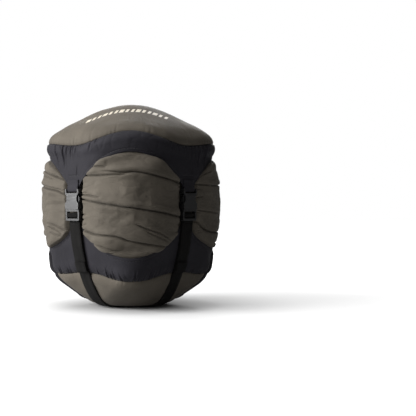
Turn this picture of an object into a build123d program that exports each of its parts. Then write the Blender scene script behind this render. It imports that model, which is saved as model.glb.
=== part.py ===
"""Compression sack, packed tight round a sleeping bag and drawn together by four webbing straps.

Millimetres. +Z is up, the origin is the middle of the base where the sack stands, and -Y is the front.
Seen from above the sack is a rounded square standing on a corner: it bulges forward, back, left and
right, and its four flats, at 45 degrees, lie under the straps. Parts at a strap are drawn at the front
and turned to their corner.
"""

import os
from math import hypot, sqrt

from build123d import *

# --- driving dimensions ---------------------------------------------------------------------------
CORNERS = {"front_left": -45, "front_right": 45, "back_right": 135, "back_left": -135}

CAP_FABRIC = 1.4  # a cap's fabric with its seams and lining
SACK_FABRIC = 1.2
LAYER_GAP = 0.2  # between layers that lie on each other

# The sack's outline: height, radius at the bulges, radius at the straps.
BASE_OUTLINE = [
    (3.2, 46, 45),
    (9, 59.5, 57),
    (18, 74.5, 65.5),
    (30, 90.5, 73),
    (43, 102.5, 79),
    (57, 106.5, 84.5),
    (72, 106.5, 89),
    (84, 105, 91.8),
    (106, 104, 94.4),
]
MIDDLE_OUTLINE = [
    (76, 102, 87.5),
    (82, 104, 89.3),
    (88, 109, 90.2),
    (98, 112, 91.7),
    (108, 114, 92.4),
    (132, 115.5, 92.4),
    (155, 114, 92.4),
    (178, 110.5, 92.4),
    (190, 102.5, 92.4),
    (206, 102, 92),
    (219, 96, 88),
    (229, 82, 77),
    (235, 62, 59.5),
    (238, 40, 39),
]
LID_OUTLINE = [
    (150, 104, 99.4),
    (176, 104.2, 99.8),
    (190, 105, 100),
    (198, 107.5, 100.2),
    (207, 108.5, 99.5),
    (215, 105, 96.5),
    (223, 97.5, 90.5),
    (230, 86, 81),
    (238, 69.5, 66.5),
    (246, 53.5, 51.5),
    (254, 36, 35),
    (260, 13, 12.7),
]

# Caps: where the side windows end, where the legs between them end, and the seams of the coloured band.
LEG_WIDTH = 20
LID_LEG_END = 152
LID_WINDOW_TOP = 195
LID_SEAM = 213
BASE_LEG_END = 104
BASE_WINDOW_BOTTOM = 71
BASE_SEAM = 43
BASE_RIM = 74  # the sack follows the base cap from inside up to here
PAST_LEGS = 30

# Webbing and loops.
WEB_WIDTH = 19
WEB = 1.4
LOOP_FABRIC = 1.2

# Buckles. Across and up are a buckle's own directions, and deep is its thickness.
BUCKLE_RADIUS = 99.2  # of the buckle's middle plane
BUCKLE_WIDTH = 24
RAIL_INNER = 9.9  # half the clear width between side rails

# The adjuster half: a frame with two bars for the webbing, a shoulder and a tongue.
ADJUSTER_BOTTOM = 110.7
ADJUSTER_DEPTH = 5.0
ADJUSTER_BACK = 2.4  # behind the middle plane
BOTTOM_BAR = (3.2, 2.6)  # deep and high
BOTTOM_BAR_OUT = 1.0
MIDDLE_BAR = (3.4, 2.8)
MIDDLE_BAR_HEIGHT = 117.6
MIDDLE_BAR_OUT = -0.5
SHOULDER_BOTTOM = 122.0
SHOULDER = (6.4, 2.0)
TONGUE_WIDTH = 6.0
TONGUE_DEPTH = 3.4
TONGUE_TOP = 141.0

# The prongs: springy arms that turn on round roots in the shoulder.
PRONG_PIVOT = (8.9, 125.1)  # across and up
PRONG_ROOT_RADIUS = 0.9
PRONG_HALF_DEPTH = 1.9

# The socket half: a hollow body with finger waists at its sides, and a slot and bar for the lid's loop.
SOCKET_MOUTH = 124.3
SOCKET_TOP = 144.6
SLOT_TOP = 147.2
SOCKET_BAR_TOP = 149.8
SOCKET_DEPTH = 8
BAR_DEPTH = 2.6
CAVITY_TOP = 143.0
CAVITY_HALF_WIDTH = 10.4
CAVITY_HALF_DEPTH = 2.3
WINDOW_BOTTOM = 132.6
WAIST = (12.6, 137.8)  # across and up
WAIST_RADII = (3.6, 5.6)

FAR = 200  # further out than any part

# The drawstring mouth under the lid.
MOUTH_RADIUS = 12
HEM_RADIUS = 25
HEM_BOTTOM = 238.2
HEM_TOP = 248.2
CORD_RADIUS = 1.5
CORD_RING_RADIUS = 18
CORD_HEIGHT = 244.4
CORD_SPREAD = 1.6  # of each strand from the middle
KNOT_RADIUS = 3.4
CORD_END_Y = -41

# The cord lock: a barrel with a blind bore, a sprung plunger that grips the cord, and its button end.
CORD_LOCK_Y = -31
LOCK_WIDTH = 11
LOCK_CORNER = 4.5
BARREL_END = -9.5  # places along the lock's axis, from the cord
BARREL_MOUTH = 7.0
BORE_END = -8.3
BORE_RADIUS = 4.3
PLUNGER_END = -4.4
BUTTON_END = 11.2
PLUNGER_RADIUS = 4.2
CORD_WINDOW = (6.8, 3.6)  # wide and high
PLUNGER_WINDOW = (9.8, 3.4)
PLUNGER_WINDOW_SHIFT = 1.6
SPRING_START = -7.9
SPRING_LENGTH = 3.1
SPRING_PITCH = 1.1
SPRING_RADIUS = 3.2
SPRING_WIRE = 0.2


os.makedirs("parts", exist_ok=True)


def save(piece, name):
    """Writes one finished sub-part under its own name."""
    piece.label = name
    export_step(piece, f"parts/{name}.step")
    print(name, round(piece.volume), "mm3")


def inset(outline, depth):
    """The outline again, moved inwards by depth square to the surface."""
    moved = []
    for i, (height, bulge, strap) in enumerate(outline):
        low = outline[max(i - 1, 0)]
        high = outline[min(i + 1, len(outline) - 1)]
        rise = high[0] - low[0]
        slant = hypot(rise, high[1] - low[1])
        out = rise / slant
        up = -(high[1] - low[1]) / slant
        moved.append((height - up * depth, bulge - out * depth, strap - out * depth))
    return moved


def beside(path, distance):
    """A path of radii and heights, from the top down, moved outwards by distance square to itself."""
    moved = []
    for i, (radius, height) in enumerate(path):
        above = path[max(i - 1, 0)]
        below = path[min(i + 1, len(path) - 1)]
        slant = hypot(above[0] - below[0], above[1] - below[1])
        outwards = distance * (above[1] - below[1]) / slant
        downwards = distance * (above[0] - below[0]) / slant
        moved.append((radius + outwards, height - downwards))
    return moved


def corner_radius(bulge, strap):
    """Corner radius of the rounded square that reaches bulge on its corners and strap on its flats."""
    return (strap * sqrt(2) - bulge) / (sqrt(2) - 1)


def lobed(outline):
    """A solid through rounded-square sections, its bulges forward, back, left and right."""
    with BuildPart() as body:
        for height, bulge, strap in outline:
            with BuildSketch(Plane.XY.offset(height)):
                RectangleRounded(2 * strap, 2 * strap, corner_radius(bulge, strap), rotation=45)
        loft(ruled=True)
    return body.part


def window_cutter(leg_end, apex, strap_radius, past):
    """Cuts a cap's four side windows. Their arches run from the legs to the apex, open past the legs."""
    half_width = (strap_radius - LEG_WIDTH / 2) / sqrt(2)
    arch = [
        (half_width * across, leg_end + (apex - leg_end) * (1 - across**2) ** 0.75)
        for across in (-1, -0.93, -0.8, -0.6, -0.3, 0, 0.3, 0.6, 0.8, 0.93, 1)
    ]
    with BuildPart() as cutter:
        for facing in (Plane.XZ, Plane.YZ):
            with BuildSketch(facing.offset(-FAR)):
                with BuildLine():
                    Spline(*arch)
                    far_side = half_width + abs(past) / 2
                    Polyline(arch[-1], (far_side, leg_end + past), (-far_side, leg_end + past), arch[0])
                make_face()
            extrude(amount=2 * FAR)
    return cutter.part


def turned(master, turn):
    """The master turned about the vertical axis to its corner."""
    with BuildPart() as piece:
        with Locations(Location((0, 0, 0), (0, 0, turn))):
            add(master)
    return piece.part


def out(distance):
    """The Y of a point that far outside the middle plane of a buckle at the front."""
    return -(BUCKLE_RADIUS + distance)


# --- contents and the sack itself -----------------------------------------------------------------
under_base = [station for station in inset(BASE_OUTLINE, CAP_FABRIC + LAYER_GAP) if station[0] < BASE_RIM]
SACK_OUTLINE = under_base + MIDDLE_OUTLINE

with BuildPart() as sleeping_bag:
    add(lobed(inset(SACK_OUTLINE, SACK_FABRIC + LAYER_GAP)))
save(sleeping_bag.part, "packed_sleeping_bag")

with BuildPart() as sack_body:
    add(lobed(SACK_OUTLINE))
    add(lobed(inset(SACK_OUTLINE, SACK_FABRIC)), mode=Mode.SUBTRACT)
    with Locations((0, 0, SACK_OUTLINE[-1][0])):
        Cylinder(MOUTH_RADIUS, 10, mode=Mode.SUBTRACT)
save(sack_body.part, "sack_body")

# --- the base cap ---------------------------------------------------------------------------------
base_inner = inset(BASE_OUTLINE, CAP_FABRIC)
base_inner.append((BASE_OUTLINE[-1][0] + 5, base_inner[-1][1], base_inner[-1][2]))

with BuildPart() as base_cap:
    add(lobed(BASE_OUTLINE))
    add(lobed(base_inner), mode=Mode.SUBTRACT)
    add(window_cutter(BASE_LEG_END, BASE_WINDOW_BOTTOM, BASE_OUTLINE[-1][2], PAST_LEGS), mode=Mode.SUBTRACT)
    split(bisect_by=Plane.XY.offset(BASE_LEG_END), keep=Keep.BOTTOM)

with BuildPart() as base_panel:
    add(base_cap.part)
    split(bisect_by=Plane.XY.offset(BASE_SEAM), keep=Keep.BOTTOM)
save(base_panel.part, "base_panel")

with BuildPart() as base_band:
    add(base_cap.part)
    split(bisect_by=Plane.XY.offset(BASE_SEAM), keep=Keep.TOP)
save(base_band.part, "base_band")

# --- the lid --------------------------------------------------------------------------------------
lid_inner = inset(LID_OUTLINE, CAP_FABRIC)
lid_inner.insert(0, (LID_OUTLINE[0][0] - 5, lid_inner[0][1], lid_inner[0][2]))

with BuildPart() as lid:
    add(lobed(LID_OUTLINE))
    add(lobed(lid_inner), mode=Mode.SUBTRACT)
    add(window_cutter(LID_LEG_END, LID_WINDOW_TOP, LID_OUTLINE[0][2], -PAST_LEGS), mode=Mode.SUBTRACT)
    split(bisect_by=Plane.XY.offset(LID_LEG_END), keep=Keep.TOP)

with BuildPart() as lid_panel:
    add(lid.part)
    split(bisect_by=Plane.XY.offset(LID_SEAM), keep=Keep.TOP)
save(lid_panel.part, "lid_panel")

with BuildPart() as lid_band:
    add(lid.part)
    split(bisect_by=Plane.XY.offset(LID_SEAM), keep=Keep.BOTTOM)
save(lid_band.part, "lid_band")

# --- webbing straps under the base, one from front left to back right and one crossing beneath it
# Radius and height of the webbing's middle, from under the buckle down to the floor.
STRAP_SIDE = [
    (96.0, 112.4),
    (95.6, 103),
    (92.9, 84),
    (90.1, 72),
    (85.6, 57),
    (80, 42.6),
    (73.9, 29.5),
    (66.3, 17.3),
    (57.6, 8.1),
    (46.5, 2.5),
    (31, WEB / 2),
]
CROSSING_HUMP = [(19, WEB / 2), (13.5, 1.6 * WEB)]


def strap(side):
    """One strap drawn in the plane of the front and back buckles, along side and its mirror image."""
    path = side + [(-radius, height) for radius, height in reversed(side)]
    with BuildPart() as webbing:
        with BuildSketch(Plane.YZ):
            with BuildLine():
                FilletPolyline(*path, radius=4)
            trace(line_width=WEB)
        extrude(amount=WEB_WIDTH / 2, both=True)
    return webbing.part


save(turned(strap(STRAP_SIDE), 45), "webbing_strap_lower")
save(turned(strap(STRAP_SIDE + CROSSING_HUMP), -45), "webbing_strap_upper")

# --- what is at each corner: adjuster half, prongs, socket half, webbing tail and lid loop --------
frame_height = SHOULDER_BOTTOM + SHOULDER[1] - ADJUSTER_BOTTOM

with BuildPart() as adjuster:
    with BuildSketch(Plane.XZ.offset(BUCKLE_RADIUS - ADJUSTER_BACK)):
        with Locations((0, ADJUSTER_BOTTOM + frame_height / 2)):
            RectangleRounded(BUCKLE_WIDTH, frame_height, 1.2)
            Rectangle(2 * RAIL_INNER, frame_height, mode=Mode.SUBTRACT)
    extrude(amount=ADJUSTER_DEPTH)
    with Locations((0, out(BOTTOM_BAR_OUT), ADJUSTER_BOTTOM + BOTTOM_BAR[1] / 2)):
        Box(2 * RAIL_INNER + 1, *BOTTOM_BAR)
    with Locations((0, out(MIDDLE_BAR_OUT), MIDDLE_BAR_HEIGHT)):
        Box(2 * RAIL_INNER + 1, *MIDDLE_BAR)
    with Locations((0, out(0), SHOULDER_BOTTOM + SHOULDER[1] / 2)):
        Box(BUCKLE_WIDTH, *SHOULDER)
    with Locations((0, out(0), (SHOULDER_BOTTOM + 1 + TONGUE_TOP) / 2)):
        Box(TONGUE_WIDTH, TONGUE_DEPTH, TONGUE_TOP - SHOULDER_BOTTOM - 1)

prong_across, prong_foot = PRONG_PIVOT
PRONG_OUTLINE = [
    (prong_across - 0.9, prong_foot),
    (prong_across - 1.0, 136),
    (8.6, 141.2),
    (9.6, 142.0),
    (10.6, 141.0),
    (11.8, 138.4),
    (11.8, 134.2),
    (11.2, 133.0),
    (9.8, 133.0),
    (prong_across + 0.9, prong_foot),
]


def prong(side):
    """The springy arm on one side of the adjuster half, side 1 for the right and -1 for the left."""
    outline = [(side * across, up) for across, up in PRONG_OUTLINE]
    with BuildPart() as arm:
        with BuildSketch(Plane.XZ.offset(BUCKLE_RADIUS)):
            with BuildLine():
                Polyline(*outline, close=True)
            make_face()
            with Locations((side * prong_across, prong_foot)):
                Circle(PRONG_ROOT_RADIUS)
        extrude(amount=PRONG_HALF_DEPTH, both=True)
    return arm.part


with BuildPart() as socket:
    with BuildSketch(Plane.XZ.offset(BUCKLE_RADIUS)):
        with Locations((0, (SOCKET_MOUTH + SOCKET_BAR_TOP) / 2)):
            RectangleRounded(BUCKLE_WIDTH, SOCKET_BAR_TOP - SOCKET_MOUTH, 1.5)
        with Locations((0, (SOCKET_TOP + SLOT_TOP) / 2)):
            Rectangle(2 * RAIL_INNER, SLOT_TOP - SOCKET_TOP, mode=Mode.SUBTRACT)
        with Locations(WAIST, (-WAIST[0], WAIST[1])):
            Ellipse(*WAIST_RADII, mode=Mode.SUBTRACT)
    extrude(amount=SOCKET_DEPTH / 2, both=True)
    # The top bar that the lid's loop goes round is thinner than the body.
    for face in (1, -1):
        with Locations((0, out(face * (BAR_DEPTH + 3) / 2), (SLOT_TOP + SOCKET_BAR_TOP) / 2 + 0.2)):
            Box(2 * RAIL_INNER, 3, SOCKET_BAR_TOP - SLOT_TOP + 1, mode=Mode.SUBTRACT)
    cavity_height = CAVITY_TOP - SOCKET_MOUTH + 2
    with Locations((0, out(0), CAVITY_TOP - cavity_height / 2)):
        Box(2 * CAVITY_HALF_WIDTH, 2 * CAVITY_HALF_DEPTH, cavity_height, mode=Mode.SUBTRACT)
    with Locations((0, out(0), (WINDOW_BOTTOM + CAVITY_TOP) / 2)):
        Box(2 * BUCKLE_WIDTH, 2 * CAVITY_HALF_DEPTH, CAVITY_TOP - WINDOW_BOTTOM, mode=Mode.SUBTRACT)

# The webbing after the adjuster: up behind it, over its middle bar, back behind its bottom bar and down
# as the tail, which lies on the strap and has its cut end folded over and sewn.
TAIL_END = (82.3, 48.5)
WRAP = [
    (out(-3.2), 112.8),
    (out(-3.2), 120.5),
    (out(2.1), 120.5),
    (out(2.1), 114.75),
    (out(-1.5), 114.75),
]
strap_beneath = STRAP_SIDE[1:5] + [TAIL_END]
tail_on_strap = [(-radius, height) for radius, height in beside(strap_beneath, WEB + LAYER_GAP)]
folded_end = [(-radius, height) for radius, height in beside(strap_beneath[3:], 2 * WEB + LAYER_GAP)]

with BuildPart() as tail:
    with BuildSketch(Plane.YZ):
        with BuildLine():
            FilletPolyline(*WRAP, *tail_on_strap, radius=[1.0] * 4 + [5.0] * 4)
        trace(line_width=WEB)
        with BuildLine():
            Polyline(*folded_end)
        trace(line_width=WEB + 0.1)
    extrude(amount=WEB_WIDTH / 2, both=True)

with BuildPart() as loop:
    with BuildSketch(Plane.YZ):
        with BuildLine():
            FilletPolyline(
                (out(-2.15), 166),
                (out(-2.15), 146.4),
                (out(2.15), 146.4),
                (out(2.15), 151.5),
                (out(1.0), 154.5),
                (out(1.0), 161),
                radius=1.0,
            )
        trace(line_width=LOOP_FABRIC)
    extrude(amount=WEB_WIDTH / 2, both=True)

for corner, turn in CORNERS.items():
    save(turned(adjuster.part, turn), f"buckle_adjuster_{corner}")
    save(turned(socket.part, turn), f"buckle_socket_{corner}")
    save(turned(prong(-1), turn), f"prong_left_{corner}")
    save(turned(prong(1), turn), f"prong_right_{corner}")
    save(turned(tail.part, turn), f"webbing_tail_{corner}")
    save(turned(loop.part, turn), f"lid_loop_{corner}")

# --- the drawstring mouth under the lid -----------------------------------------------------------
with BuildPart() as hem:
    with BuildSketch(Plane.XZ):
        with Locations(((MOUTH_RADIUS + HEM_RADIUS) / 2, (HEM_BOTTOM + HEM_TOP) / 2)):
            RectangleRounded(HEM_RADIUS - MOUTH_RADIUS, HEM_TOP - HEM_BOTTOM, 3)
        with Locations((CORD_RING_RADIUS, CORD_HEIGHT)):
            Circle(CORD_RADIUS + 0.4, mode=Mode.SUBTRACT)
    revolve(axis=Axis.Z)
    with Locations((0, -24, CORD_HEIGHT)):
        Box(8, 14, 2 * CORD_RADIUS + 0.8, mode=Mode.SUBTRACT)
save(hem.part, "gathered_mouth")

with BuildPart() as drawcord:
    with Locations((0, 0, CORD_HEIGHT)):
        Torus(CORD_RING_RADIUS, CORD_RADIUS)
    for across in (-CORD_SPREAD, CORD_SPREAD):
        with Locations(Location((across, (CORD_END_Y - CORD_RING_RADIUS) / 2, CORD_HEIGHT), (90, 0, 0))):
            Cylinder(CORD_RADIUS, -CORD_END_Y - CORD_RING_RADIUS)
    with Locations((0, CORD_END_Y, CORD_HEIGHT)):
        Sphere(KNOT_RADIUS)
save(drawcord.part, "drawcord")

# The cord lock lies across the cord, with its button towards +X.
LOCK_AXIS = Plane((0, CORD_LOCK_Y, CORD_HEIGHT), x_dir=(0, 1, 0), z_dir=(1, 0, 0))

with BuildPart() as cord_lock:
    with BuildSketch(LOCK_AXIS.offset(BARREL_END)):
        RectangleRounded(LOCK_WIDTH, LOCK_WIDTH, LOCK_CORNER)
    extrude(amount=BARREL_MOUTH - BARREL_END)
    with BuildSketch(LOCK_AXIS.offset(BORE_END)):
        Circle(BORE_RADIUS)
    extrude(amount=2 * LOCK_WIDTH, mode=Mode.SUBTRACT)
    with Locations((0, CORD_LOCK_Y, CORD_HEIGHT)):
        Box(CORD_WINDOW[0], 2 * LOCK_WIDTH, CORD_WINDOW[1], mode=Mode.SUBTRACT)
save(cord_lock.part, "cord_lock_barrel")

with BuildPart() as plunger:
    with BuildSketch(LOCK_AXIS.offset(PLUNGER_END)):
        Circle(PLUNGER_RADIUS)
    extrude(amount=BUTTON_END - PLUNGER_END)
    with Locations((PLUNGER_WINDOW_SHIFT, CORD_LOCK_Y, CORD_HEIGHT)):
        Box(PLUNGER_WINDOW[0], 2 * LOCK_WIDTH, PLUNGER_WINDOW[1], mode=Mode.SUBTRACT)
    fillet(plunger.faces().sort_by(Axis.X)[-1].edges(), 1.2)
save(plunger.part, "cord_lock_plunger")

spring_start = (SPRING_START, CORD_LOCK_Y, CORD_HEIGHT)
with BuildPart() as spring:
    with BuildLine():
        turns = Helix(SPRING_PITCH, SPRING_LENGTH, SPRING_RADIUS, center=spring_start, direction=(1, 0, 0))
    with BuildSketch(Plane(turns @ 0, z_dir=turns % 0)):
        Circle(SPRING_WIRE)
    sweep(path=turns)
save(spring.part, "cord_lock_spring")
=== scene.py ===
"""Looks of the compression sack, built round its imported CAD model.

Lengths here are millimetres until a mesh is made. Angles round the sack are radians from +X towards +Y.
A lobe is a bulge of the sack between two straps: right, back, left and front. across is the distance along
a lobe's face from its middle, positive towards +angle, and up is the height above the floor.
"""

import random
from math import cos, pi, radians, sin, sqrt

import bmesh
import bpy
import numpy as np
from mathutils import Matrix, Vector, noise
from mathutils.bvhtree import BVHTree


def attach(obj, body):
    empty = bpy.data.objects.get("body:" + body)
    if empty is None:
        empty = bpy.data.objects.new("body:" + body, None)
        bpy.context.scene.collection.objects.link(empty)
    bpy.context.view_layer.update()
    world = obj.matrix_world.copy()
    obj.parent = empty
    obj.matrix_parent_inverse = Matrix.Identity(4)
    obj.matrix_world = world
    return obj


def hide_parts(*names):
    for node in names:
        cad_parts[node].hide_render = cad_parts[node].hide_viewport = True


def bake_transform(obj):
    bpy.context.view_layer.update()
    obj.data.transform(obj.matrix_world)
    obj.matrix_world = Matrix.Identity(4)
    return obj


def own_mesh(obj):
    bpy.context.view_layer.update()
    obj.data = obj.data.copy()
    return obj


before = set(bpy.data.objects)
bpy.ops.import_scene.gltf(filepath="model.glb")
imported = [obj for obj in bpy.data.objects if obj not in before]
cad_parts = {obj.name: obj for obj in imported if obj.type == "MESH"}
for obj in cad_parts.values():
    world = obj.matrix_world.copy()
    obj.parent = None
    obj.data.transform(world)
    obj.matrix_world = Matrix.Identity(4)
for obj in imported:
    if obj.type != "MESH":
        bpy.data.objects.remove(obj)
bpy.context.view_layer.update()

MM = 0.001
QUARTER = pi / 2
LOBES = {"right": 0, "back": 1, "left": 2, "front": 3}
STRAPS = {"front_left": 225, "front_right": 315, "back_right": 45, "back_left": 135}
WEB_WIDTH = 19.0
WEB_THICK = 1.4
BUCKLE_RADIUS = 99.2
NO_LENGTH = 1e-9

# --- outlines of the three skins: height, radius at the lobes, radius at the straps ---
BASE_OUTLINE = [
    (3.0, 0.0, 0.0), (3.05, 23, 22.5), (3.3, 45, 44), (9, 59.5, 57), (18, 74.5, 65.5),
    (30, 90.5, 73), (43, 102.5, 79), (57, 106.8, 84.5), (72, 106.8, 89), (84, 105.5, 91.8),
    (106, 104, 94.4), (112, 104, 94.8),
]
SACK_OUTLINE = [
    (5.0, 0.0, 0.0), (5.3, 43, 42), (10.6, 57.5, 55), (19.4, 72.5, 63.7), (31, 88.6, 71.2),
    (43.8, 100.4, 77.2), (58, 104.4, 83), (70, 104.4, 87.0), (75, 103.6, 88.2), (82, 108.2, 89.6),
    (90, 111.6, 91), (100, 113.4, 91.8), (112, 115, 92.4), (132, 115.6, 92.4), (155, 114.4, 92.4),
    (169, 112.8, 92.4), (177, 110, 92.4), (184, 105.6, 92.4), (191, 103.4, 92.2), (206, 103, 91.5),
    (219, 97, 88), (229, 83, 77), (235.5, 62, 59.5), (238.6, 40, 39), (239.2, 22, 21.8),
    (241, 13, 13),
]
LID_OUTLINE = [
    (146, 104, 99.4), (152, 104, 99.4), (176, 104.2, 99.8), (190, 105, 100), (198, 107.5, 100.2),
    (207, 108.5, 99.5), (215, 105, 96.5), (223, 97.5, 90.5), (230, 86, 81), (238, 69.5, 66.5),
    (246, 53.5, 51.5), (254, 35, 34), (258.8, 18, 17.7), (260.4, 0, 0),
]

# Heights of the caps' leg ends, of the tops of the windows between the legs (front and back, then sides),
# and of the seams (at the straps, then how much higher at front and back, and at the sides).
LID_LEG_END, LID_HALF_WINDOW = 152.0, 63.2
LID_WINDOW = (193.5, 188.5)
LID_SEAM = (203.0, 17.5, 6.0)
BASE_LEG_END, BASE_HALF_WINDOW = 104.0, 59.7
BASE_WINDOW = (66.5, 74.0)
BASE_SEAM = (46.0, -9.0, -6.5)
ARCH_POWER, SETTLING_ROUNDS = 0.75, 6
CAP_FABRIC = 1.2
OUTLINE_STEPS, CREASE_STEPS = 14, 6


def smooth(x, low, high):
    t = np.clip((x - low) / (high - low), 0, 1)
    return t * t * (3 - 2 * t)


def between(x, start, end):
    """1 between two places, with a smooth rise over start and a smooth fall over end."""
    return smooth(x, *start) * (1 - smooth(x, *end))


def bell(x, width):
    return np.exp(-((x / width) ** 2))


def round_angles(count):
    return np.arange(count) * 2 * pi / count


def spline(points, per):
    """A smooth curve through the points, in per steps from each to the next."""
    rows = np.array(points, float)
    rows = np.vstack([2 * rows[0] - rows[1], rows, 2 * rows[-1] - rows[-2]])
    dense = []
    for a, b, c, d in zip(rows, rows[1:], rows[2:], rows[3:]):
        for t in np.linspace(0, 1, per, endpoint=False):
            bend = 2 * a - 5 * b + 4 * c - d + t * (3 * (b - c) + d - a)
            dense.append(b + 0.5 * t * (c - a + t * bend))
    dense.append(rows[-2])
    return np.array(dense)


def reach_along(line):
    """How far along a line of points each point is."""
    return np.concatenate([[0], np.cumsum(np.linalg.norm(np.diff(line, axis=0), axis=1))])


class Outline:
    """A smooth curve through an outline's stations, measured along its length."""

    def __init__(self, stations):
        dense = spline(stations, OUTLINE_STEPS)
        dense[:, 1:] = np.maximum(dense[:, 1:], 0)
        self.z = np.maximum.accumulate(dense[:, 0])
        self.lobe, self.strap = dense[:, 1], dense[:, 2]
        self.t = reach_along(np.stack([dense[:, 0], dense[:, 1:].mean(1)], -1))

    def t_at(self, z):
        return np.interp(z, self.z, self.t)

    def radius(self, phi, z):
        return ring_radius(phi, np.interp(z, self.z, self.lobe), np.interp(z, self.z, self.strap))

    def grid(self, columns, t):
        """Angles and points of a grid round the skin. Each row has one length t, or one for every column."""
        t = np.broadcast_to(t if t.ndim > 1 else t[:, None], (len(t), columns))
        phi = np.broadcast_to(round_angles(columns), t.shape)
        z, lobe, strap = (np.interp(t, self.t, column) for column in (self.z, self.lobe, self.strap))
        r = ring_radius(phi, lobe, strap)
        return phi, np.stack([r * np.cos(phi), r * np.sin(phi), z], -1)


def ring_radius(phi, lobe, strap):
    """Radius of the rounded square that reaches lobe on its corners and strap on its flats."""
    a = np.abs(from_lobe(phi))
    corner = (strap * sqrt(2) - lobe) / (sqrt(2) - 1)
    centre = lobe - corner
    tangent = np.arctan2(corner / sqrt(2), centre + corner / sqrt(2))
    inside = np.maximum(corner**2 - (centre * np.sin(a)) ** 2, 0)
    return np.where(a < tangent, centre * np.cos(a) + np.sqrt(inside), strap / np.cos(QUARTER / 2 - a))


def from_lobe(phi):
    """Signed angle from the nearest lobe's middle."""
    return (phi + QUARTER / 2) % QUARTER - QUARTER / 2


def from_strap(phi):
    """Signed angle from the nearest strap."""
    return phi % QUARTER - QUARTER / 2


def from_axis(points):
    return np.hypot(points[..., 0], points[..., 1])


def front_or_side(phi, front, side):
    """A value that is front on the front and back lobes and side on the left and right ones."""
    return (front + side) / 2 - (front - side) / 2 * np.cos(2 * phi)


def seam_height(phi, seam):
    base, front, side = seam
    return base + front_or_side(phi, front, side) * (0.5 + 0.5 * np.cos(4 * phi))


def window_edge(phi, outline, leg_end, window, half_width):
    """Height of a cap's edge: the end of a leg near a strap, and the arch of the window between the legs."""
    apex = front_or_side(phi, *window)
    z = apex
    for _ in range(SETTLING_ROUNDS):
        across = np.abs(outline.radius(phi, z) * np.sin(from_lobe(phi))) / half_width
        z = leg_end + (apex - leg_end) * np.maximum(1 - across**2, 0) ** ARCH_POWER
    return z


base_skin, sack_skin, lid_skin = Outline(BASE_OUTLINE), Outline(SACK_OUTLINE), Outline(LID_OUTLINE)


def lid_edge(phi):
    return window_edge(phi, lid_skin, LID_LEG_END, LID_WINDOW, LID_HALF_WINDOW)


def base_edge(phi):
    return window_edge(phi, base_skin, BASE_LEG_END, BASE_WINDOW, BASE_HALF_WINDOW)


# --- meshes ---
def link(mesh, material, body, node=None):
    """Puts a mesh in the scene as a piece, in place of a CAD node. A blended piece has no body of its own."""
    piece = bpy.data.objects.new(mesh.name, mesh)
    bpy.context.scene.collection.objects.link(piece)
    mesh.materials.append(material)
    if body:
        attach(piece, body)
    if node:
        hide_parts(node)
    return piece


def shade_smooth(mesh):
    mesh.polygons.foreach_set("use_smooth", [True] * len(mesh.polygons))


def smooth_mesh(name, points, faces):
    mesh = bpy.data.meshes.new(name)
    mesh.from_pydata((np.array(points) * MM).tolist(), [], faces)
    shade_smooth(mesh)
    return mesh


def grid_quads(rows, columns):
    """Quads of a grid that closes round its columns: the row and column of each, and its four points."""
    i, j = (a.ravel() for a in np.meshgrid(np.arange(rows - 1), np.arange(columns), indexing="ij"))
    k = (j + 1) % columns
    quads = [i * columns + j, i * columns + k, (i + 1) * columns + k, (i + 1) * columns + j]
    return i, j, np.stack(quads, -1)


def grid_mesh(name, points, low_pole=False, high_pole=False, flip=False, uv_size=(1, 1)):
    """A mesh over a grid of points that runs round by columns, with a weave map in millimetres of arc.

    A pole closes the first or the last row with a fan.
    """
    rows, columns = points.shape[:2]
    i, j, quads = grid_quads(rows, columns)
    corner_i, corner_j = np.stack([i, i, i + 1, i + 1], -1), np.stack([j, j + 1, j + 1, j], -1)
    if flip:
        quads, corner_i, corner_j = quads[:, ::-1], corner_i[:, ::-1], corner_j[:, ::-1]
    verts = points.reshape(-1, 3)
    faces = quads.tolist()
    for wanted, row, upwards in ((low_pole, 0, False), (high_pole, rows - 1, True)):
        if not wanted:
            continue
        tip = len(verts)
        verts = np.vstack([verts, points[row].mean(0)])
        for column in range(columns):
            edge = [row * columns + column, row * columns + (column + 1) % columns]
            faces.append((edge if upwards != flip else edge[::-1]) + [tip])
    mesh = smooth_mesh(name, verts, faces)
    around, along = np.linspace(0, uv_size[0], columns + 1), np.linspace(0, uv_size[1], rows)
    flat = np.stack([around[corner_j], along[corner_i]], -1).reshape(-1, 2)
    full = np.zeros((len(mesh.loops), 2))
    full[: len(flat)] = flat
    mesh.uv_layers.new(name="weave").data.foreach_set("uv", full.ravel())
    return mesh


def grid_normals(points):
    """Outward unit normals of a grid that runs round the sack by columns and upwards by rows."""
    around = np.roll(points, -1, 1) - np.roll(points, 1, 1)
    normal = np.cross(around, np.gradient(points, axis=0))
    return normal / np.maximum(np.linalg.norm(normal, axis=-1, keepdims=True), NO_LENGTH)


def directions(line):
    """Unit vectors along a line of points."""
    tangent = np.gradient(line, axis=0)
    return tangent / np.linalg.norm(tangent, axis=1, keepdims=True)


def away_from_sack(line):
    """Unit normals of a line of (radius, height)."""
    tangent = directions(line)
    return np.stack([-tangent[:, 1], tangent[:, 0]], -1)


ROUGHNESS, LACUNARITY = 0.6, 2.1
CRINKLE_THINNESS, CRINKLE_POWER = 2.5, 5


def fractal(points, scale, stretch, seed, octaves=2):
    """Smooth noise at each point, about -1 to 1."""
    flat = points.reshape(-1, 3) * np.array(stretch) / scale + seed
    values = [noise.fractal(Vector(p), ROUGHNESS, LACUNARITY, octaves) for p in flat]
    return np.array(values).reshape(points.shape[:-1])


def unevenness(points, size, scale, stretch, seed):
    return size * fractal(points, scale, stretch, seed)


def crinkles(places, scale, seed, stretch=(1, 1, 1)):
    """Thin random creases: 1 along each crease and 0 a little beside it."""
    beside = np.abs(fractal(places, scale, stretch, seed, 1)) * CRINKLE_THINNESS
    return (1 - np.minimum(beside, 1)) ** CRINKLE_POWER


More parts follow.
